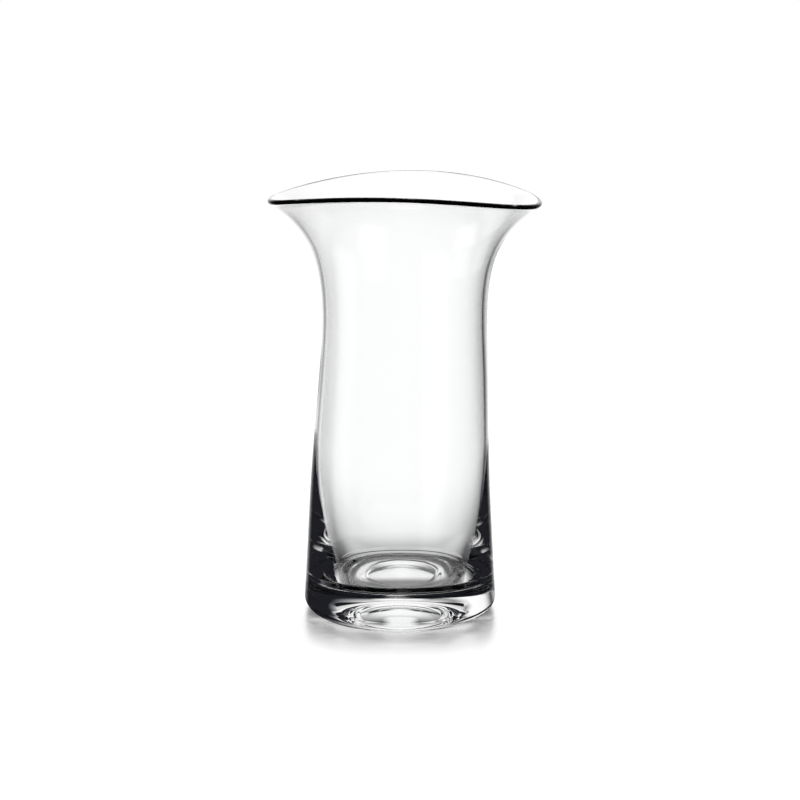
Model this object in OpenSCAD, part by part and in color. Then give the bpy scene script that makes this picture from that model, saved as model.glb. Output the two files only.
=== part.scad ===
// Flared vase of clear glass, blown by hand in one piece.
// The foot stands on z = 0, +Z is up, and the lip's centre is over the origin.
// The lip is low at its left (-X) and right (+X) and high at its front and back.

/* [Body] */
// Height from the table to the highest point of the lip
height = 216; // [195:1:240]
// Width of the foot where it is widest
foot_width = 97.2; // [90:0.2:104]
// Width that the tapering body would reach at the lip if it did not flare
throat_width = 74.2; // [70:0.2:82]
// How far the lip's centre stands to the right of the foot's centre
lean = 2.3; // [0:0.1:5]
// Height at which the body begins to lean to the right
lean_start = 55; // [40:1:70]
// Height above which the body stands upright again
lean_end = 150; // [130:1:170]
// How far the inside of the thick lower body stands to the right of the outside
inside_shift = 0.6; // [0:0.1:1.5]

/* [Lip] */
// Width across the lip
lip_width = 134.4; // [120:0.2:150]
// Height at which the wall begins to turn outwards
flare_start = 125; // [110:1:135]
// How far the wall leans out from upright where it meets the rounded edge
lip_angle = 55; // [45:0.5:62]
// Share of the flare's reach that comes in the curl just under the lip
curl_share = 0.45; // [0.4:0.05:0.7]
// Thickness of the rounded, fire-polished edge
lip_edge = 3; // [2.6:0.1:4]
// How far the lip rises at the front and back and droops at the sides
lip_wave = 3.8; // [0:0.1:7]
// How much higher the lip is on the left than in the middle
lip_tilt = 0.5; // [0:0.1:2]
// Turn of the lip's low sides away from the X axis, clockwise seen from above
lip_turn = 6.5; // [0:0.5:20]

/* [Glass] */
// Thickness of the wall in the upper body and the flare
wall = 2.5; // [2:0.1:3.4]
// Thickness of the wall down at the inside floor
base_wall = 13.5; // [11:0.1:14.5]
// Height at which the thick lower wall has thinned to the upper wall
thin_height = 90; // [80:1:105]
// Thickness of the glass under the edge of the inside floor
floor_level = 13; // [12:0.5:16]
// Radius of the round corner between the inside wall and the floor
corner_radius = 2; // [1.5:0.5:4]
// How much deeper the inside floor is in the middle than at its edge
floor_dish = 1.2; // [0.8:0.1:1.6]
// How steeply the floor falls from the round corner at its edge
floor_slope = 8; // [6:1:12]
// How much lower the floor's edge is at the back than in the middle
floor_tilt = 4.5; // [0:0.1:5]

/* [Foot] */
// Radius of the rounded heel round the foot
heel_radius = 6.5; // [4:0.5:9]
// Width of the ground and polished hollow under the foot
kick_width = 44; // [36:1:52]
// Depth of the hollow under the foot
kick_depth = 5.4; // [4:0.1:6]

/* [Hidden] */

// Numbers of steps round the vase and along its profile
around = 96;
heel_steps = 5;
body_steps = 6;
flare_steps = 13;
edge_steps = 5;
corner_steps = 4;
floor_steps = 5;

// The flare opens gently, the edge's swelling keeps to its last part, the wave eases in from its start,
// and the inside floor's tilt reaches up to three times the height of its round corner
opening_power = 3;
edge_swell_power = 9;
wave_power = 2;
tilt_reach = 3;
thinning_power = 1.9;

foot_radius = foot_width / 2;
edge_radius = lip_edge / 2;
flat_radius = foot_radius - heel_radius;

// How far the lip's edge is lifted at the angle a round the vase
function lift(a) = -lip_wave * cos(2 * (a + lip_turn)) - lip_tilt * cos(a);

// The lip's mean level, below the overall height by the wave's highest crest
lip_crest = max([for (i = [0 : around - 1]) lift(360 * i / around)]);
lip_level = height - lip_crest;

// Where the outer wall ends and the round edge begins
edge_centre = [lip_width / 2 - edge_radius, lip_level - edge_radius];
edge_start = edge_centre + edge_radius * [cos(lip_angle), -sin(lip_angle)];

// The straight taper of the body, and the flare that is added to it above flare_start: a gentle
// opening and a late curl, whose power makes the wall meet the edge at lip_angle
taper = (foot_width - throat_width) / 2 / (lip_level - heel_radius);
flare_height = edge_start[1] - flare_start;
flare_reach = edge_start[0] - cone_radius(edge_start[1]);
curl_power = ((tan(lip_angle) + taper) * flare_height / flare_reach - (1 - curl_share) * opening_power)
    / curl_share;

function cone_radius(z) = foot_radius - taper * (z - heel_radius);
function flare_share(z) = max(0, z - flare_start) / flare_height;
function outer_radius(z) = cone_radius(z) + flare_reach
    * ((1 - curl_share) * pow(flare_share(z), opening_power) + curl_share * pow(flare_share(z), curl_power));
function outer_slope(z) = flare_reach / flare_height
    * ((1 - curl_share) * opening_power * pow(flare_share(z), opening_power - 1)
        + curl_share * curl_power * pow(flare_share(z), curl_power - 1)) - taper;

// The wall is thick at the floor, thins upwards, and swells a little at the lip's edge
function thick_share(z) = max(0, thin_height - z) / (thin_height - floor_level);
function wall_at(z) = wall
    + (base_wall - wall) * pow(thick_share(z), thinning_power)
    + (lip_edge - wall) * pow(flare_share(z), edge_swell_power);

// A point of the inside wall, square to the outer wall at the height z
function inner_point(z) =
    let (lean_out = atan(outer_slope(z)))
    [outer_radius(z) - wall_at(z) * cos(lean_out), z + wall_at(z) * sin(lean_out)];

function steps_between(low, high, steps) = [for (i = [0 : steps]) low + (high - low) * i / steps];

// The profile runs from the foot's flat ring up the outside, over the lip and down to the floor's middle
heel_outline = [for (a = steps_between(-90, 0, heel_steps))
    [flat_radius + heel_radius * cos(a), heel_radius + heel_radius * sin(a)]];
outer_heights = [
    for (z = steps_between(heel_radius, flare_start, body_steps)) if (z > heel_radius) z,
    for (z = steps_between(flare_start, edge_start[1], flare_steps)) if (z > flare_start) z];
outer_outline = [for (z = outer_heights) [outer_radius(z), z]];
edge_outline = [for (a = steps_between(0, 180, edge_steps)) if (a > 0 && a < 180)
    edge_centre + edge_radius * [cos(a - lip_angle), sin(a - lip_angle)]];

corner_top = floor_level + corner_radius * cos(floor_slope);
inner_heights = [
    for (z = steps_between(edge_start[1], flare_start, flare_steps)) z,
    for (z = steps_between(flare_start, corner_top, body_steps)) if (z < flare_start) z];
inner_outline = [for (z = inner_heights) inner_point(z)];
corner_middle = inner_point(corner_top)[0] - corner_radius;
corner_outline = [for (a = steps_between(0, 90 - floor_slope, corner_steps)) if (a > 0)
    [corner_middle + corner_radius * cos(a), corner_top - corner_radius * sin(a)]];
floor_radius = corner_middle + corner_radius * sin(floor_slope);

// The floor's slope at its edge and its depth in the middle give the power of its curve
dish_power = tan(floor_slope) * floor_radius / floor_dish;
function floor_height(r) = floor_level - floor_dish * (1 - pow(r / floor_radius, dish_power));
floor_outline = [for (r = steps_between(floor_radius, 0, floor_steps)) if (r > 0 && r < floor_radius)
    [r, floor_height(r)]];

outside_profile = concat(heel_outline, outer_outline, edge_outline);
inside_profile = concat(inner_outline, corner_outline, floor_outline);

// A share that eases from none at the height low to the whole at the height high
function eased(z, low, high) =
    let (share = min(1, max(0, (z - low) / (high - low))))
    share * share * (3 - 2 * share);

// The body moves to the right as it rises, the lip's wave lifts only the flare, and the inside floor's
// tilt dies out up the inside wall
function lean_at(z) = lean * (eased(z, lean_start, lean_end) - 1);
function wave_share(z) = pow(max(0, z - flare_start) / (lip_level - flare_start), wave_power);
function tilt_share(z) = 1 - eased(z, corner_top, tilt_reach * corner_top);
function placed(p, a) =
    [p[0] * cos(a) + lean_at(p[1]), p[0] * sin(a), p[1] + lift(a) * wave_share(p[1])];
function shift_at(z) = inside_shift * (1 - eased(z, lean_start, lean_end));
function placed_inside(p, a) =
    placed(p, a) + [shift_at(p[1]), 0, -floor_tilt * p[0] * sin(a) / floor_radius * tilt_share(p[1])];

// A closed solid from the profile, swept once round with the lean and the lip's wave
module blown_form() {
    rings = len(outside_profile) + len(inside_profile);
    points = concat(
        [for (p = outside_profile, i = [0 : around - 1]) placed(p, 360 * i / around)],
        [for (p = inside_profile, i = [0 : around - 1]) placed_inside(p, 360 * i / around)],
        [placed([0, 0], 0), placed_inside([0, floor_height(0)], 0)]);
    foot_middle = rings * around;
    floor_middle = foot_middle + 1;
    last = (rings - 1) * around;
    walls = [for (r = [0 : rings - 2], i = [0 : around - 1])
        let (a = r * around + i, b = r * around + (i + 1) % around)
        each [[a, a + around, b + around], [a, b + around, b]]];
    foot = [for (i = [0 : around - 1]) [foot_middle, i, (i + 1) % around]];
    floor = [for (i = [0 : around - 1]) [floor_middle, last + (i + 1) % around, last + i]];
    polyhedron(points = points, faces = concat(walls, foot, floor));
}

// Radius of the ball whose cap has the hollow's width and depth
kick_ball = (pow(kick_width / 2, 2) + pow(kick_depth, 2)) / (2 * kick_depth);

// The shallow round hollow that is ground into the foot where the vase was held while it was blown
module ground_hollow() {
    translate([lean_at(0), 0, kick_depth - kick_ball]) sphere(r = kick_ball, $fn = around);
}

module vase() {
    color([0.88, 0.92, 0.92, 0.35])
        difference() {
            blown_form();
            ground_hollow();
        }
}

vase();
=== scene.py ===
"""Looks of a flared vase of clear glass, blown by hand: its form, its glass and the studio round it."""
import logging
import math
from dataclasses import dataclass
from enum import Enum

import bpy
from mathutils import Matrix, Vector


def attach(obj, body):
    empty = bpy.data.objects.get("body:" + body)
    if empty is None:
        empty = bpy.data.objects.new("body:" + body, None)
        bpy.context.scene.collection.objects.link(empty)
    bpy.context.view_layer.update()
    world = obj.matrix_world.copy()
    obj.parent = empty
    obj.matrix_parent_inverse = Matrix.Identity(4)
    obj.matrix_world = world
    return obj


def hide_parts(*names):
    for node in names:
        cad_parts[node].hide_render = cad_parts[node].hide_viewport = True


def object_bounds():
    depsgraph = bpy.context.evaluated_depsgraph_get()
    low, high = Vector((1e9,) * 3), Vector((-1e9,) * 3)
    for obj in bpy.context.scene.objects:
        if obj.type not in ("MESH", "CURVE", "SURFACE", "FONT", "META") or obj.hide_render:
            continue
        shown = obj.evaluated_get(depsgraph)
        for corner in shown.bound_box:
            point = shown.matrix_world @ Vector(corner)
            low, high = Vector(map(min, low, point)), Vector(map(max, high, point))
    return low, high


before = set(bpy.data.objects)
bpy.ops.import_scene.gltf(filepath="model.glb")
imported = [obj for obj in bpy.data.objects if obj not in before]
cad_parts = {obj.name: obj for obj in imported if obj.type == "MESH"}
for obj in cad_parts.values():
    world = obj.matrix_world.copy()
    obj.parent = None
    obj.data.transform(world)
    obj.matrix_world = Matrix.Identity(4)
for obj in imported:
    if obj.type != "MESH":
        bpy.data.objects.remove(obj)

CAD_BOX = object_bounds()
MM = 0.001
WHITE = (1.0, 1.0, 1.0, 1.0)

logging.basicConfig(level=logging.INFO, format="%(name)s: %(message)s")
log = logging.getLogger("vase")

Point = tuple[float, float]
Triple = tuple[float, float, float]
Colour = tuple[float, float, float, float]
Socket = bpy.types.NodeSocket
Fed = Socket | float | tuple[float, ...] | bpy.types.Material


class Face(Enum):
    """The side of the glass that a stretch of the profile belongs to."""

    OUTSIDE = 0.0
    INSIDE = 1.0


@dataclass(frozen=True)
class Fade:
    """A value that eases from start to end while another one goes from low to high."""

    low: float
    high: float
    start: float = 0.0
    end: float = 1.0


def steps_between(low: float, high: float, steps: int) -> list[float]:
    """Evenly spaced values from low to high, both ends included.

    Args:
        low: First value.
        high: Last value.
        steps: Number of equal steps between them.

    Returns:
        The steps + 1 values in order.
    """
    return [low + (high - low) * i / steps for i in range(steps + 1)]


def grey(value: float) -> Colour:
    """An opaque grey of the given value."""
    return (value, value, value, 1.0)


class NodeBench:
    """Places and links the nodes of one tree, so that a shader or shape reads from top to bottom."""

    def __init__(self, tree: bpy.types.NodeTree) -> None:
        """Keeps the tree to work on.

        Args:
            tree: The node tree, emptied here.
        """
        self.tree = tree
        tree.nodes.clear()

    def add(self, kind: str, inputs: dict | None = None, **settings: str | bool) -> bpy.types.Node:
        """Adds a node, sets its properties, and sets or links its inputs.

        Args:
            kind: Blender's type name of the node.
            inputs: Input name or number to a value or to an output socket.
            **settings: Properties of the node.

        Returns:
            The new node.
        """
        node = self.tree.nodes.new(kind)
        for name, value in settings.items():
            setattr(node, name, value)
        for key, value in (inputs or {}).items():
            self.feed(node.inputs[key], value)
        return node

    def feed(self, socket: Socket, value: Fed) -> None:
        """Links an output to a socket, or sets the socket's own value.

        Args:
            socket: The input to feed.
            value: An output socket, or the value itself.
        """
        if isinstance(value, Socket):
            self.tree.links.new(value, socket)
        else:
            socket.default_value = value

    def math(self, operation: str, *values: Fed) -> Socket:
        """Adds a Math node.

        Args:
            operation: Blender's name of the operation.
            *values: What the node's inputs are fed, in order.

        Returns:
            The node's output.
        """
        return self.add("ShaderNodeMath", dict(enumerate(values)), operation=operation).outputs[0]

    def vector(self, operation: str, *values: Fed) -> Socket:
        """Adds a Vector Math node.

        Args:
            operation: Blender's name of the operation.
            *values: What the node's inputs are fed, in order.

        Returns:
            The node's vector.
        """
        node = self.add("ShaderNodeVectorMath", dict(enumerate(values)), operation=operation)
        return node.outputs["Vector"]

    def length(self, vector: Socket) -> Socket:
        """Adds a Vector Math node for a vector's length and returns the length."""
        return self.add("ShaderNodeVectorMath", {0: vector}, operation="LENGTH").outputs["Value"]

    def parts(self, vector: Socket) -> bpy.types.bpy_prop_collection:
        """Splits a vector and returns the outputs X, Y and Z."""
        return self.add("ShaderNodeSeparateXYZ", {0: vector}).outputs

    def smooth(self, value: Fed, low: Fed, high: Fed, start: float = 0.0, end: float = 1.0) -> Socket:
        """Adds a Map Range node that eases from start to end.

        Args:
            value: What the ease follows.
            low: Where it starts.
            high: Where it ends.
            start: The output up to low.
            end: The output from high on.

        Returns:
            The eased value.
        """
        limits = {"Value": value, "From Min": low, "From Max": high, "To Min": start, "To Max": end}
        return self.add("ShaderNodeMapRange", limits, interpolation_type="SMOOTHSTEP").outputs["Result"]

    def fade(self, value: Fed, fade: Fade) -> Socket:
        """Eases along a fade and returns the eased value."""
        return self.smooth(value, fade.low, fade.high, fade.start, fade.end)

    def product(self, first: Fed, *others: Fed) -> Socket:
        """Adds Math nodes that multiply the values one after another.

        Args:
            first: The first value.
            *others: The values to multiply it by.

        Returns:
            The product.
        """
        for other in others:
            first = self.math("MULTIPLY", first, other)
        return first


def add_socket(tree: bpy.types.NodeTree, name: str, kind: str, way: str = "INPUT",
               value: float | None = None) -> None:
    """Adds a named input or output to a node group.

    Args:
        tree: The group.
        name: The socket's name.
        kind: Blender's socket type name.
        way: INPUT or OUTPUT.
        value: The input's default, if it has one.
    """
    socket = tree.interface.new_socket(name=name, in_out=way, socket_type=kind)
    if value is not None:
        socket.default_value = value


@dataclass(frozen=True)
class SweepTree:
    """Geometry Nodes tree that turns the profile once round, with its lean, its lip's wave and its ripple."""

    name: str = "swept_round"
    steps_round: int = 360
    merge_distance: float = 0.001 * MM
    ripple_stretch: Triple = (1.0, 1.0, 0.35)
    ripple_octaves: float = 1.0
    ripple_mean: float = 0.5
    ripple_from: Fade = Fade(8 * MM, 30 * MM)
    ripple_until: Fade = Fade(185 * MM, 203 * MM, 1.0, 0.0)
    inside_seed_step: float = 5.0
    sizes: tuple[str, ...] = (
        "Lean", "Lean Start", "Lean End", "Inside Shift", "Floor Tilt", "Floor Radius", "Floor Top",
        "Tilt Reach", "Lip Wave", "Lip Crests", "Lip Tilt", "Lip Turn", "Wave Start", "Wave Level",
        "Wave Power", "Ripple Height", "Ripple Size",
    )

    def build(self) -> bpy.types.NodeTree:
        """Builds the tree.

        Returns:
            The node group, ready for a modifier.
        """
        tree = bpy.data.node_groups.new(self.name, "GeometryNodeTree")
        add_socket(tree, "Profile", "NodeSocketGeometry")
        add_socket(tree, "Steps Round", "NodeSocketInt", value=self.steps_round)
        for name in self.sizes:
            add_socket(tree, name, "NodeSocketFloat", value=0.0)
        add_socket(tree, "Seed", "NodeSocketInt", value=1)
        add_socket(tree, "Material", "NodeSocketMaterial")
        add_socket(tree, "Vase", "NodeSocketGeometry", "OUTPUT")
        bench = NodeBench(tree)
        given = bench.add("NodeGroupInput").outputs
        grid, angle, radius, level, face = self.unrolled(bench, given)
        swept = self.placed(bench, given, grid, angle, radius, level, face)
        rippled = self.rippled(bench, given, swept, level, face)
        merged = bench.add("GeometryNodeMergeByDistance", {
            "Geometry": rippled, "Distance": self.merge_distance,
        })
        smooth = bench.add("GeometryNodeSetShadeSmooth", {"Geometry": merged.outputs[0]})
        real = bench.add("GeometryNodeRealizeInstances", {"Geometry": smooth.outputs[0]})
        dressed = bench.add("GeometryNodeSetMaterial", {
            "Geometry": real.outputs[0], "Material": given["Material"],
        })
        bench.add("NodeGroupOutput", {0: dressed.outputs[0]})
        return tree

    def unrolled(self, bench: NodeBench, given: bpy.types.bpy_prop_collection) -> tuple[Socket, ...]:
        """Lays a flat grid that has a column for each step round and a row for each point of the profile.

        Args:
            bench: The tree's bench.
            given: Outputs of the group's input node.

        Returns:
            The grid, and each vertex's angle, radius, level and face of the glass.
        """
        size = bench.add("GeometryNodeAttributeDomainSize", {"Geometry": given["Profile"]})
        points = size.outputs["Point Count"]
        columns = bench.math("ADD", given["Steps Round"], 1.0)
        grid = bench.add("GeometryNodeMeshGrid", {"Vertices X": columns, "Vertices Y": points})
        index = bench.add("GeometryNodeInputIndex").outputs[0]
        column = bench.math("FLOOR", bench.math("DIVIDE", index, points))
        row = bench.math("MODULO", index, points)
        angle = bench.product(bench.math("DIVIDE", column, given["Steps Round"]), math.tau)
        sampled = bench.add("GeometryNodeSampleIndex", {
            "Geometry": given["Profile"], "Index": row,
            "Value": bench.add("GeometryNodeInputPosition").outputs[0],
        }, data_type="FLOAT_VECTOR").outputs[0]
        profile = bench.parts(sampled)
        return grid.outputs["Mesh"], angle, profile["X"], profile["Z"], profile["Y"]

    def placed(self, bench: NodeBench, given: bpy.types.bpy_prop_collection, grid: Socket, angle: Socket,
               radius: Socket, level: Socket, face: Socket) -> Socket:
        """Moves each vertex to its place round the vase, with the lean, the floor's tilt and the lip's wave.

        Args:
            bench: The tree's bench.
            given: Outputs of the group's input node.
            grid: The flat grid.
            angle: Each vertex's angle round the vase.
            radius: Its distance from the axis.
            level: Its height in the profile.
            face: Its face of the glass.

        Returns:
            The placed grid.
        """
        above = bench.math("MAXIMUM", bench.math("SUBTRACT", level, given["Wave Start"]), 0.0)
        flare = bench.math("SUBTRACT", given["Wave Level"], given["Wave Start"])
        share = bench.math("POWER", bench.math("DIVIDE", above, flare), given["Wave Power"])
        turned = bench.product(bench.math("ADD", angle, given["Lip Turn"]), given["Lip Crests"])
        wave = bench.product(given["Lip Wave"], bench.math("COSINE", turned))
        tilt = bench.product(given["Lip Tilt"], bench.math("COSINE", angle))
        droop = bench.product(bench.math("ADD", wave, tilt), share)

        lean = bench.math("SUBTRACT", bench.smooth(level, given["Lean Start"], given["Lean End"]), 1.0)
        reach = bench.math("SUBTRACT", given["Lean"], bench.product(face, given["Inside Shift"]))
        across = bench.product(radius, bench.math("COSINE", angle))
        x = bench.math("ADD", across, bench.product(lean, reach))
        y = bench.product(radius, bench.math("SINE", angle))

        tilt_end = bench.product(given["Floor Top"], given["Tilt Reach"])
        near_floor = bench.product(face, bench.smooth(level, given["Floor Top"], tilt_end, 1.0, 0.0))
        back = bench.math("DIVIDE", y, given["Floor Radius"])
        tilted = bench.product(given["Floor Tilt"], back, near_floor)
        z = bench.math("SUBTRACT", bench.math("SUBTRACT", level, droop), tilted)
        place = bench.add("ShaderNodeCombineXYZ", {"X": x, "Y": y, "Z": z}).outputs[0]
        return bench.add("GeometryNodeSetPosition", {"Geometry": grid, "Position": place}).outputs[0]

    def rippled(self, bench: NodeBench, given: bpy.types.bpy_prop_collection, swept: Socket, level: Socket,
                face: Socket) -> Socket:
        """Pushes the wall in and out by the slight unevenness that blowing leaves.

        Args:
            bench: The tree's bench.
            given: Outputs of the group's input node.
            swept: The placed grid.
            level: Each vertex's height in the profile.
            face: Its face of the glass.

        Returns:
            The uneven grid.
        """
        place = bench.add("GeometryNodeInputPosition").outputs[0]
        noise = bench.add("ShaderNodeTexNoise", {
            "Vector": bench.vector("MULTIPLY", place, self.ripple_stretch),
            "W": bench.math("ADD", given["Seed"], bench.product(face, self.inside_seed_step)),
            "Scale": bench.math("DIVIDE", 1.0, given["Ripple Size"]), "Detail": self.ripple_octaves,
        }, noise_dimensions="4D").outputs[0]
        share = bench.product(bench.fade(level, self.ripple_from), bench.fade(level, self.ripple_until))
        uneven = bench.math("SUBTRACT", noise, self.ripple_mean)
        ripple = bench.product(uneven, given["Ripple Height"], share)
        normal = bench.add("GeometryNodeInputNormal").outputs[0]
        offset = bench.add("ShaderNodeVectorMath", {0: normal, "Scale": ripple}, operation="SCALE")
        moved = bench.add("GeometryNodeSetPosition", {"Geometry": swept, "Offset": offset.outputs[0]})
        return moved.outputs[0]


@dataclass(frozen=True)
class ClearGlass:
    """Clear colourless glass, fire-polished, with rings on the inside floor and faint cords up the wall."""

    name: str = "clear_glass"
    tint: Colour = (0.995, 0.998, 0.998, 1.0)
    ior: float = 1.5
    middle: float = -1.7 * MM
    ring_radii: tuple[float, ...] = (19.5 * MM, 28 * MM)
    ring_width: float = 2.4 * MM
    ring_height: float = 0.6 * MM
    ring_wander: float = 5 * MM
    wanders_per_metre: float = 60.0
    floor_edge: Fade = Fade(32 * MM, 33 * MM, 1.0, 0.0)
    floor_bottom: Fade = Fade(6 * MM, 7 * MM)
    floor_top: Fade = Fade(19 * MM, 21 * MM, 1.0, 0.0)
    cord_height: float = 0.025 * MM
    cords_per_metre: float = 110.0
    cord_stretch: Triple = (1.0, 1.0, 0.12)
    cord_start: Fade = Fade(22 * MM, 50 * MM)
    noise_octaves: float = 1.0
    noise_mean: float = 0.5

    def rings(self, bench: NodeBench, centred: Socket) -> Socket:
        """Adds the nodes for the rings on the inside floor.

        Args:
            bench: The group's bench.
            centred: Place on the vase, measured from the inside floor's middle.

        Returns:
            The rings' share of their height, from none to one.
        """
        flat = bench.vector("MULTIPLY", centred, (1.0, 1.0, 0.0))
        radius = bench.length(flat)
        noise = bench.add("ShaderNodeTexNoise", {
            "Vector": flat, "Scale": self.wanders_per_metre, "Detail": self.noise_octaves,
        }).outputs[0]
        shake = bench.math("SUBTRACT", noise, self.noise_mean)
        shaken = bench.math("MULTIPLY_ADD", shake, self.ring_wander, radius)
        rings = 0.0
        for ring in self.ring_radii:
            crest = ring + self.ring_width / 2
            rise = bench.smooth(shaken, crest - self.ring_width, crest)
            fall = bench.smooth(shaken, crest, ring + self.ring_width * 2, 1.0, 0.0)
            rings = bench.math("ADD", rings, bench.product(rise, fall))
        level = bench.parts(centred)["Z"]
        on_floor = bench.product(bench.fade(radius, self.floor_edge), bench.fade(level, self.floor_bottom),
                                 bench.fade(level, self.floor_top))
        return bench.product(rings, on_floor)

    def cords(self, bench: NodeBench, place: Socket) -> Socket:
        """Adds the nodes for the cords up the wall.

        Args:
            bench: The group's bench.
            place: Place on the vase.

        Returns:
            The cords' share of their height, from none to one.
        """
        noise = bench.add("ShaderNodeTexNoise", {
            "Vector": bench.vector("MULTIPLY", place, self.cord_stretch),
            "Scale": self.cords_per_metre, "Detail": self.noise_octaves,
        }).outputs[0]
        return bench.product(noise, bench.fade(bench.parts(place)["Z"], self.cord_start))

    def detail_group(self) -> bpy.types.NodeTree:
        """Shader group for the marks that blowing leaves.

        Returns:
            The group, with a Height output in metres for a bump.
        """
        tree = bpy.data.node_groups.new("blown_detail", "ShaderNodeTree")
        add_socket(tree, "Ring Height", "NodeSocketFloat", value=self.ring_height)
        add_socket(tree, "Cord Height", "NodeSocketFloat", value=self.cord_height)
        add_socket(tree, "Height", "NodeSocketFloat", "OUTPUT")
        bench = NodeBench(tree)
        given = bench.add("NodeGroupInput").outputs
        place = bench.add("ShaderNodeTexCoord").outputs["Object"]
        centred = bench.vector("SUBTRACT", place, (self.middle, 0.0, 0.0))
        floor = bench.product(self.rings(bench, centred), given["Ring Height"])
        wall = bench.product(self.cords(bench, place), given["Cord Height"])
        bench.add("NodeGroupOutput", {0: bench.math("ADD", floor, wall)})
        return tree

    def material(self) -> bpy.types.Material:
        """Builds the material.

        Returns:
            The glass, ready for the vase.
        """
        made = bpy.data.materials.new(self.name)
        made.use_nodes = True
        bench = NodeBench(made.node_tree)
        detail = bench.add("ShaderNodeGroup", node_tree=self.detail_group())
        bump = bench.add("ShaderNodeBump", {
            "Strength": 1.0, "Distance": 1.0, "Height": detail.outputs["Height"],
        })
        glass = bench.add("ShaderNodeBsdfPrincipled", {
            "Base Color": self.tint, "Metallic": 0.0, "Roughness": 0.0, "IOR": self.ior,
            "Transmission Weight": 1.0, "Normal": bump.outputs[0],
        })
        bench.add("ShaderNodeOutputMaterial", {"Surface": glass.outputs[0]})
        return made


@dataclass
class Vase:
    """The whole vase: one wall of blown glass with a heavy foot, a tapering body and a waved, flared lip."""

    name: str = "blown_vase"
    height: float = CAD_BOX[1].z - CAD_BOX[0].z
    lip_width: float = CAD_BOX[1].x - CAD_BOX[0].x
    foot_width: float = 97.2 * MM
    throat_width: float = 74.2 * MM
    lean: float = 2.3 * MM
    lean_start: float = 55 * MM
    lean_end: float = 150 * MM
    inside_shift: float = 0.6 * MM
    flare_start: float = 125 * MM
    lip_angle: float = math.radians(55)
    curl_share: float = 0.45
    lip_edge: float = 3.0 * MM
    lip_wave: float = 3.8 * MM
    lip_crests: float = 2.0
    lip_tilt: float = 0.5 * MM
    lip_turn: float = math.radians(6.5)
    wall: float = 2.5 * MM
    base_wall: float = 13.5 * MM
    thin_height: float = 90 * MM
    floor_level: float = 13 * MM
    corner_radius: float = 2 * MM
    floor_dish: float = 1.2 * MM
    floor_slope: float = math.radians(8)
    floor_tilt: float = 4.5 * MM
    tilt_reach: float = 3.0
    heel_radius: float = 6.5 * MM
    kick_width: float = 44 * MM
    kick_depth: float = 5.4 * MM
    opening_power: float = 3.0
    edge_swell_power: float = 9.0
    thinning_power: float = 1.9
    wave_power: float = 2.0
    ripple_height: float = 0.25 * MM
    ripple_size: float = 28 * MM
    seed: int = 3
    hollow_steps: int = 24
    ring_steps: int = 6
    heel_steps: int = 14
    body_steps: int = 36
    flare_steps: int = 44
    edge_steps: int = 20
    corner_steps: int = 12
    floor_steps: int = 32
    tree: SweepTree = SweepTree()

    def __post_init__(self) -> None:
        """Works out the levels and the flare's powers that follow from the sizes."""
        crest = max(self.lift(a) for a in steps_between(0.0, math.tau, self.tree.steps_round))
        self.lip_level = self.height - crest
        half_edge = self.lip_edge / 2
        self.edge_centre = (self.lip_width / 2 - half_edge, self.lip_level - half_edge)
        self.edge_start = (self.edge_centre[0] + half_edge * math.cos(self.lip_angle),
                           self.edge_centre[1] - half_edge * math.sin(self.lip_angle))
        self.taper = (self.foot_width - self.throat_width) / 2 / (self.lip_level - self.heel_radius)
        self.flare_height = self.edge_start[1] - self.flare_start
        self.flare_reach = self.edge_start[0] - self.cone_radius(self.edge_start[1])
        slope = (math.tan(self.lip_angle) + self.taper) * self.flare_height / self.flare_reach
        self.curl_power = (slope - (1 - self.curl_share) * self.opening_power) / self.curl_share
        self.corner_top = self.floor_level + self.corner_radius * math.cos(self.floor_slope)
        self.corner_middle = self.inner_point(self.corner_top)[0] - self.corner_radius
        self.floor_radius = self.corner_middle + self.corner_radius * math.sin(self.floor_slope)
        self.dish_power = math.tan(self.floor_slope) * self.floor_radius / self.floor_dish

    def lift(self, angle: float) -> float:
        """How far the lip's edge is lifted at an angle round the vase."""
        wave = self.lip_wave * math.cos(self.lip_crests * (angle + self.lip_turn))
        return -wave - self.lip_tilt * math.cos(angle)

    def cone_radius(self, z: float) -> float:
        """Radius of the straight taper at the height z."""
        return self.foot_width / 2 - self.taper * (z - self.heel_radius)

    def flare_share(self, z: float) -> float:
        """Share of the flare's height that lies below z."""
        return max(0.0, z - self.flare_start) / self.flare_height

    def outer_radius(self, z: float) -> float:
        """Radius of the outside wall.

        Args:
            z: Height above the table.

        Returns:
            The taper's radius, with what the flare's gentle opening and its late curl add.
        """
        share = self.flare_share(z)
        opening = (1 - self.curl_share) * share ** self.opening_power
        curl = self.curl_share * share ** self.curl_power
        return self.cone_radius(z) + self.flare_reach * (opening + curl)

    def outer_slope(self, z: float) -> float:
        """How fast the outside wall's radius grows with height.

        Args:
            z: Height above the table.

        Returns:
            The growth of the radius per unit of height.
        """
        share = self.flare_share(z)
        opening = (1 - self.curl_share) * self.opening_power * share ** (self.opening_power - 1)
        curl = self.curl_share * self.curl_power * share ** (self.curl_power - 1)
        return self.flare_reach / self.flare_height * (opening + curl) - self.taper

    def wall_at(self, z: float) -> float:
        """Thickness of the wall, measured square to it.

        Args:
            z: Height of the outside wall's point.

        Returns:
            The thickness, which falls from the inside floor upwards and swells a little at the lip's edge.
        """
        thick = max(0.0, self.thin_height - z) / (self.thin_height - self.floor_level)
        swell = (self.lip_edge - self.wall) * self.flare_share(z) ** self.edge_swell_power
        return self.wall + (self.base_wall - self.wall) * thick ** self.thinning_power + swell

    def inner_point(self, z: float) -> Point:
        """Point of the inside wall, square to the outside wall.

        Args:
            z: Height of the outside wall's point.

        Returns:
            The inside point's radius and height.
        """
        lean_out = math.atan(self.outer_slope(z))
        wall = self.wall_at(z)
        return (self.outer_radius(z) - wall * math.cos(lean_out), z + wall * math.sin(lean_out))

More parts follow.
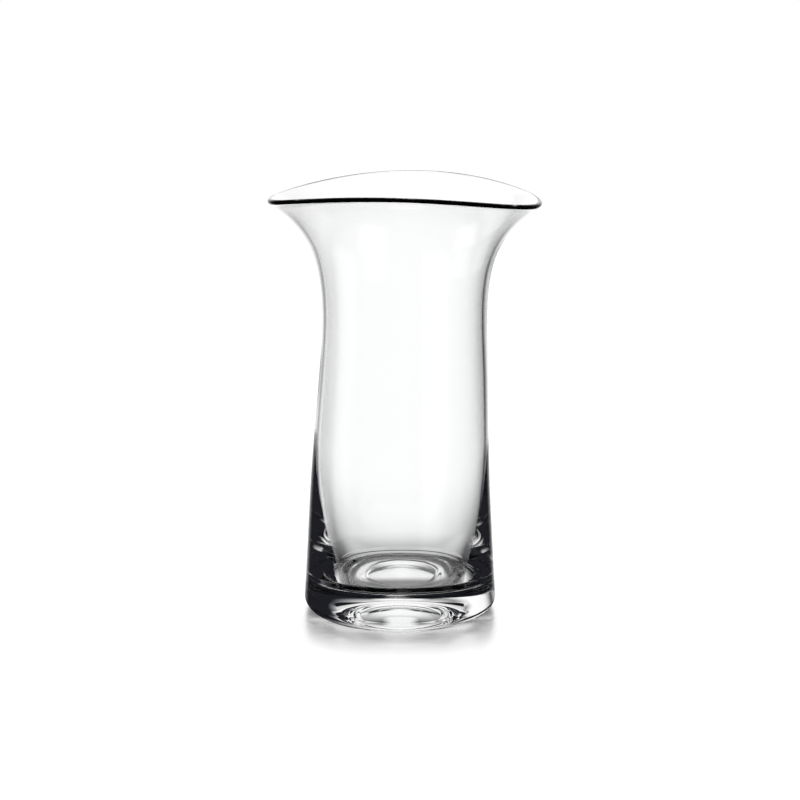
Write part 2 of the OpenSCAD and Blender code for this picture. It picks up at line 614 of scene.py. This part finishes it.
    def underside(self) -> list[Point]:
        """Profile under the foot.

        Returns:
            Points from the middle of the ground hollow, a ball's cap, to the edge of the flat ring.
        """
        rim = self.kick_width / 2
        ball = (rim ** 2 + self.kick_depth ** 2) / (2 * self.kick_depth)
        hollow = [(r, self.kick_depth - ball + math.sqrt(ball ** 2 - r ** 2))
                  for r in steps_between(0.0, rim, self.hollow_steps)]
        ring = steps_between(rim, self.foot_width / 2 - self.heel_radius, self.ring_steps)[1:]
        return hollow + [(r, 0.0) for r in ring]

    def outside(self) -> list[Point]:
        """Profile of the heel and the outside wall.

        Returns:
            Points from the flat ring up to the lip's round edge.
        """
        flat = self.foot_width / 2 - self.heel_radius
        heel = [(flat + self.heel_radius * math.cos(a), self.heel_radius + self.heel_radius * math.sin(a))
                for a in steps_between(-math.pi / 2, 0.0, self.heel_steps)[1:]]
        body = steps_between(self.heel_radius, self.flare_start, self.body_steps)[1:]
        flare = steps_between(self.flare_start, self.edge_start[1], self.flare_steps)[1:]
        return heel + [(self.outer_radius(z), z) for z in body + flare]

    def edge(self) -> list[Point]:
        """Profile of the round, fire-polished edge.

        Returns:
            Points over the edge, without its two ends, which the walls have.
        """
        half = self.lip_edge / 2
        return [(self.edge_centre[0] + half * math.cos(a - self.lip_angle),
                 self.edge_centre[1] + half * math.sin(a - self.lip_angle))
                for a in steps_between(0.0, math.pi, self.edge_steps)[1:-1]]

    def inside(self) -> list[Point]:
        """Profile of the inside wall, the round corner and the dished floor.

        Returns:
            Points from the lip's round edge down to the axis.
        """
        flare = steps_between(self.edge_start[1], self.flare_start, self.flare_steps)
        body = steps_between(self.flare_start, self.corner_top, self.body_steps)[1:]
        wall = [self.inner_point(z) for z in flare + body]
        corner = [(self.corner_middle + self.corner_radius * math.cos(a),
                   self.corner_top - self.corner_radius * math.sin(a))
                  for a in steps_between(0.0, math.pi / 2 - self.floor_slope, self.corner_steps)[1:]]
        floor = [(r, self.floor_level - self.floor_dish * (1 - (r / self.floor_radius) ** self.dish_power))
                 for r in steps_between(self.floor_radius, 0.0, self.floor_steps)[1:]]
        return wall + corner + floor

    def profile_mesh(self) -> bpy.types.Mesh:
        """Lays the whole profile out as a mesh of points.

        Returns:
            The mesh, whose X is the radius, whose Z is the level and whose Y is the face of the glass.
        """
        outer = [(r, Face.OUTSIDE.value, z) for r, z in self.underside() + self.outside() + self.edge()]
        inner = [(r, Face.INSIDE.value, z) for r, z in self.inside()]
        points = outer + inner
        mesh = bpy.data.meshes.new("profile")
        mesh.from_pydata(points, [(i, i + 1) for i in range(len(points) - 1)], [])
        return mesh

    def inputs(self, glass: bpy.types.Material) -> dict[str, float | bpy.types.Material]:
        """Values of the tree's inputs, by name.

        Args:
            glass: The material.

        Returns:
            Input name to value.
        """
        return {
            "Steps Round": self.tree.steps_round, "Seed": self.seed, "Material": glass,
            "Lean": self.lean, "Lean Start": self.lean_start, "Lean End": self.lean_end,
            "Inside Shift": self.inside_shift, "Floor Tilt": self.floor_tilt,
            "Floor Radius": self.floor_radius, "Floor Top": self.corner_top, "Tilt Reach": self.tilt_reach,
            "Lip Wave": self.lip_wave, "Lip Crests": self.lip_crests, "Lip Tilt": self.lip_tilt,
            "Lip Turn": self.lip_turn, "Wave Start": self.flare_start, "Wave Level": self.lip_level,
            "Wave Power": self.wave_power, "Ripple Height": self.ripple_height,
            "Ripple Size": self.ripple_size,
        }

    def build(self, glass: bpy.types.Material) -> bpy.types.Object:
        """Sweeps the profile round and leaves a plain mesh.

        Args:
            glass: The material.

        Returns:
            The finished piece, at the origin.
        """
        source = bpy.data.objects.new("profile", self.profile_mesh())
        bpy.context.scene.collection.objects.link(source)
        modifier = source.modifiers.new("sweep", "NODES")
        modifier.node_group = self.tree.build()
        values = self.inputs(glass)
        for item in modifier.node_group.interface.items_tree:
            if item.name in values:
                modifier[item.identifier] = values[item.name]
        mesh = bpy.data.meshes.new_from_object(source.evaluated_get(bpy.context.evaluated_depsgraph_get()))
        source.modifiers.remove(modifier)
        bpy.data.objects.remove(source)
        mesh.name = self.name
        piece = bpy.data.objects.new(self.name, mesh)
        bpy.context.scene.collection.objects.link(piece)
        return piece

    def dress(self, piece: bpy.types.Object) -> None:
        """Seats the piece in the frame in place of the plain solid.

        Args:
            piece: The finished vase.
        """
        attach(piece, "root")
        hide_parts("vase")


@dataclass(frozen=True)
class LightWindow:
    """A patch of white backdrop, by the direction in which it lies as seen from the vase, in degrees."""

    towards: float
    half_width: float
    fade: float
    top: float
    top_fade: float
    bottom: float = -90.0
    bottom_fade: float = 1.0
    strength: float = 1.16

    def brightness(self, bench: NodeBench, azimuth: Socket, elevation: Socket) -> Socket:
        """Adds the nodes for the window's brightness in a direction.

        Args:
            bench: The bench of the group that holds the windows.
            azimuth: Direction round the vase, from +X towards +Y.
            elevation: Direction above the floor.

        Returns:
            The brightness, from zero to the window's strength.
        """
        centre = math.radians(self.towards) - math.tau
        off = bench.math("PINGPONG", bench.math("SUBTRACT", azimuth, centre), math.pi)
        side, top, bottom = (math.radians(a) for a in (self.half_width, self.top, self.bottom))
        across = bench.smooth(off, side, side + math.radians(self.fade), self.strength, 0.0)
        under_top = bench.smooth(elevation, top, top + math.radians(self.top_fade), 1.0, 0.0)
        over_bottom = bench.smooth(elevation, bottom - math.radians(self.bottom_fade), bottom)
        return bench.product(across, under_top, over_bottom)


@dataclass(frozen=True)
class Backdrop:
    """White backdrop with dark flags beside it: what the glass shows, and a plain soft light for the rest.

    It is not an even light. The windows lie behind the vase for the main view and for views from 45, 90 and
    225 degrees round, and for no others: from any other side the glass shows the flags and looks nearly black.
    """

    windows: tuple[LightWindow, ...] = (
        LightWindow(90, 3, 35, top=20, top_fade=34),
        LightWindow(90, 8, 14, top=62, top_fade=12, bottom=36, bottom_fade=14),
    )
    side_windows: tuple[LightWindow, ...] = (
        LightWindow(135, 6, 20, top=50, top_fade=10),
        LightWindow(180, 6, 20, top=36, top_fade=10),
        LightWindow(315, 6, 20, top=44, top_fade=10),
    )
    flag_strength: float = 0.016
    flag_colour: Colour = (0.92, 0.94, 1.18, 1.0)
    flag_fade: Fade = Fade(0.0, 0.3)
    upward_share: float = 0.93
    ambient: float = 0.8
    through_depth: float = 1.5
    straight_depth: float = 6.5

    def window_group(self) -> bpy.types.NodeTree:
        """Shader group that says how bright the backdrop is in a direction from the vase.

        Returns:
            The group, with a Direction input and the outputs Brightness and Sides.
        """
        tree = bpy.data.node_groups.new("backdrop_windows", "ShaderNodeTree")
        add_socket(tree, "Direction", "NodeSocketVector")
        add_socket(tree, "Brightness", "NodeSocketFloat", "OUTPUT")
        add_socket(tree, "Sides", "NodeSocketFloat", "OUTPUT")
        bench = NodeBench(tree)
        direction = bench.parts(bench.add("NodeGroupInput").outputs["Direction"])
        azimuth = bench.math("ARCTAN2", direction["Y"], direction["X"])
        elevation = bench.math("ARCSINE", direction["Z"])
        level, sides = self.flag_strength, 0.0
        for window in self.windows:
            level = bench.math("MAXIMUM", window.brightness(bench, azimuth, elevation), level)
        for window in self.side_windows:
            sides = bench.math("MAXIMUM", window.brightness(bench, azimuth, elevation), sides)
        bench.add("NodeGroupOutput", {0: level, 1: sides})
        return tree

    def build(self) -> None:
        """Makes the world: white for the camera, the windows for the glass, and soft light for the rest."""
        world = bpy.data.worlds.new("studio")
        world.use_nodes = True
        bpy.context.scene.world = world
        bench = NodeBench(world.node_tree)
        path = bench.add("ShaderNodeLightPath").outputs
        window = bench.add("ShaderNodeGroup", node_tree=self.window_group())
        bench.feed(window.inputs["Direction"], bench.add("ShaderNodeTexCoord").outputs["Generated"])

        held_back = bench.product(path["Is Transmission Ray"], 1.0 - self.upward_share)
        behind = bench.product(window.outputs["Brightness"], bench.math("SUBTRACT", 1.0, held_back))

        # The side windows show only where a ray has gone nearly straight through the glass
        straight = bench.product(
            bench.math("GREATER_THAN", path["Transmission Depth"], self.through_depth),
            bench.math("LESS_THAN", path["Ray Depth"], self.straight_depth))
        beside = bench.product(straight, window.outputs["Sides"])

        in_glass = bench.math("MAXIMUM", path["Is Glossy Ray"], path["Is Transmission Ray"])
        soft = bench.product(bench.math("SUBTRACT", 1.0, in_glass), self.ambient)
        shown = bench.math("MULTIPLY_ADD", in_glass, bench.math("MAXIMUM", behind, beside), soft)
        strength = bench.add("ShaderNodeMix", {0: path["Is Camera Ray"], 2: shown, 3: 1.0}).outputs[0]
        paleness = bench.fade(strength, self.flag_fade)
        colour = bench.add("ShaderNodeMix", {0: paleness, 6: self.flag_colour, 7: WHITE}, data_type="RGBA")
        light = bench.add("ShaderNodeBackground", {"Color": colour.outputs[2], "Strength": strength})
        bench.add("ShaderNodeOutputWorld", {"Surface": light.outputs[0]})


@dataclass(frozen=True)
class PaleFloor:
    """Floor that is white for the camera, keeps the vase's shadow and mirrors its foot softly."""

    size: float = 40.0
    air_film: float = 0.05 * MM
    foot_middle: Point = (-2.3 * MM, 0.0)
    own_light: float = 0.76
    lit_grey: float = 0.32
    other_grey: float = 0.8
    gloss_roughness: float = 0.3
    gloss_share: Fade = Fade(40 * MM, 90 * MM, 0.8, 0.0)
    mirror_roughness: float = 0.02
    # Painted shade: the mirror's colour is darkened close to the foot, and further out beside it along X
    # through side_shade
    mirror_painted_shade_near: Fade = Fade(34 * MM, 42 * MM, 0.02, 0.58)
    mirror_painted_shade_far: Fade = Fade(52 * MM, 85 * MM, 0.0, 0.42)
    side_shade: Fade = Fade(0.78, 0.93, 0.0, 16 * MM)
    gathered_spot: Fade = Fade(23 * MM, 28 * MM, 1.0, 0.0)
    gathered_back: Fade = Fade(-6 * MM, 3 * MM, 0.12, 1.0)
    least_distance: float = 1 * MM

    def for_camera(self, bench: NodeBench, distance: Socket) -> Socket:
        """Adds the shader that the camera sees: white, darker in the shadow, and glossy close to the foot.

        Args:
            bench: The material's bench.
            distance: Distance from the foot's middle.

        Returns:
            The shader.
        """
        white = bench.add("ShaderNodeEmission", {"Color": WHITE, "Strength": self.own_light})
        lit = bench.add("ShaderNodeBsdfDiffuse", {"Color": grey(self.lit_grey)})
        plain = bench.add("ShaderNodeAddShader", {0: white.outputs[0], 1: lit.outputs[0]})
        gloss = bench.add("ShaderNodeBsdfGlossy", {"Color": WHITE, "Roughness": self.gloss_roughness})
        share = bench.fade(distance, self.gloss_share)
        mixed = bench.add("ShaderNodeMixShader", {0: share, 1: plain.outputs[0], 2: gloss.outputs[0]})
        return mixed.outputs[0]

    def for_glass(self, bench: NodeBench, away: Socket, distance: Socket) -> Socket:
        """Adds the shader that the glass shows: a mirror darkened near the foot and beside it as painted
        shade, with a bright spot.

        The spot gives light of its own. It stands in for the light that the real foot gathers on the table.

        Args:
            bench: The material's bench.
            away: Place on the floor, measured from the foot's middle.
            distance: Distance from the foot's middle.

        Returns:
            The shader.
        """
        across = bench.parts(away)
        side = bench.math("DIVIDE", bench.math("ABSOLUTE", across["X"]),
                          bench.math("MAXIMUM", distance, self.least_distance))
        # Painted shade: the mirror is darkened near the foot, and farther out beside it along X
        shade_distance = bench.math("SUBTRACT", distance, bench.fade(side, self.side_shade))
        share = bench.math("ADD", bench.fade(shade_distance, self.mirror_painted_shade_near),
                           bench.fade(shade_distance, self.mirror_painted_shade_far))
        mirror = bench.add("ShaderNodeBsdfGlossy", {"Color": share, "Roughness": self.mirror_roughness})
        gathered = bench.product(bench.fade(distance, self.gathered_spot),
                                 bench.fade(across["Y"], self.gathered_back))
        spot = bench.add("ShaderNodeEmission", {"Color": WHITE, "Strength": gathered})
        return bench.add("ShaderNodeAddShader", {0: mirror.outputs[0], 1: spot.outputs[0]}).outputs[0]

    def material(self) -> bpy.types.Material:
        """Builds the material.

        Returns:
            The floor's finish.
        """
        made = bpy.data.materials.new("pale_floor")
        made.use_nodes = True
        bench = NodeBench(made.node_tree)
        path = bench.add("ShaderNodeLightPath").outputs
        place = bench.add("ShaderNodeTexCoord").outputs["Object"]
        away = bench.vector("SUBTRACT", place, (*self.foot_middle, 0.0))
        distance = bench.length(away)
        soft = bench.add("ShaderNodeBsdfDiffuse", {"Color": grey(self.other_grey)}).outputs[0]
        in_glass = bench.math("MAXIMUM", path["Is Glossy Ray"], path["Is Transmission Ray"])
        shown = self.for_glass(bench, away, distance)
        other = bench.add("ShaderNodeMixShader", {0: in_glass, 1: soft, 2: shown})
        mixed = bench.add("ShaderNodeMixShader", {
            0: path["Is Camera Ray"], 1: other.outputs[0], 2: self.for_camera(bench, distance),
        })
        bench.add("ShaderNodeOutputMaterial", {"Surface": mixed.outputs[0]})
        return made

    def build(self) -> None:
        """Lays the floor under the vase, with the film of air between them that real glass stands on."""
        half = self.size / 2
        corners = ((-half, -half), (half, -half), (half, half), (-half, half))
        mesh = bpy.data.meshes.new("floor")
        mesh.from_pydata([(x, y, -self.air_film) for x, y in corners], [], [(0, 1, 2, 3)])
        mesh.materials.append(self.material())
        floor = bpy.data.objects.new("floor", mesh)
        bpy.context.scene.collection.objects.link(floor)


@dataclass(frozen=True)
class SoftLamp:
    """One large soft lamp straight overhead, which the glass doesn't show."""

    width: float = 0.9
    height: float = 1.4
    power: float = 14.0

    def build(self) -> None:
        """Hangs the lamp."""
        data = bpy.data.lights.new("soft_lamp", "AREA")
        data.shape = "DISK"
        data.size = self.width
        data.energy = self.power
        lamp = bpy.data.objects.new("soft_lamp", data)
        lamp.location = (0.0, 0.0, self.height)
        lamp.visible_glossy = False
        lamp.visible_transmission = False
        bpy.context.scene.collection.objects.link(lamp)


@dataclass(frozen=True)
class Camera:
    """Camera at the photograph's viewing angle."""

    place: Triple = (-2.3 * MM, -938.4 * MM, 312.5 * MM)
    aim: Triple = (-2.3 * MM, 0.0, 107.4 * MM)
    lens: float = 86.33
    near_limit: float = 10 * MM

    def build(self) -> None:
        """Sets the camera up and makes it the scene's."""
        data = bpy.data.cameras.new("camera")
        data.lens = self.lens
        data.clip_start = self.near_limit
        camera = bpy.data.objects.new("camera", data)
        camera.location = self.place
        look = Vector(self.aim) - Vector(self.place)
        camera.rotation_euler = look.to_track_quat("-Z", "Y").to_euler()
        bpy.context.scene.collection.objects.link(camera)
        bpy.context.scene.camera = camera


@dataclass(frozen=True)
class Studio:
    """The backdrop, the floor, the lamp and the camera, and how far light is followed through the glass."""

    backdrop: Backdrop = Backdrop()
    floor: PaleFloor = PaleFloor()
    lamp: SoftLamp = SoftLamp()
    camera: Camera = Camera()
    bounces: int = 32
    glossy_bounces: int = 20

    def build(self) -> None:
        """Sets up the whole studio."""
        scene = bpy.context.scene
        scene.view_settings.view_transform = "Standard"
        scene.cycles.max_bounces = self.bounces
        scene.cycles.transmission_bounces = self.bounces
        scene.cycles.glossy_bounces = self.glossy_bounces
        for part in (self.backdrop, self.floor, self.lamp, self.camera):
            part.build()


def main() -> None:
    """Builds the studio and the vase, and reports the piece."""
    Studio().build()
    vase = Vase()
    piece = vase.build(ClearGlass().material())
    vase.dress(piece)
    log.info("%s: %d faces", piece.name, len(piece.data.polygons))


if __name__ == "__main__":
    main()
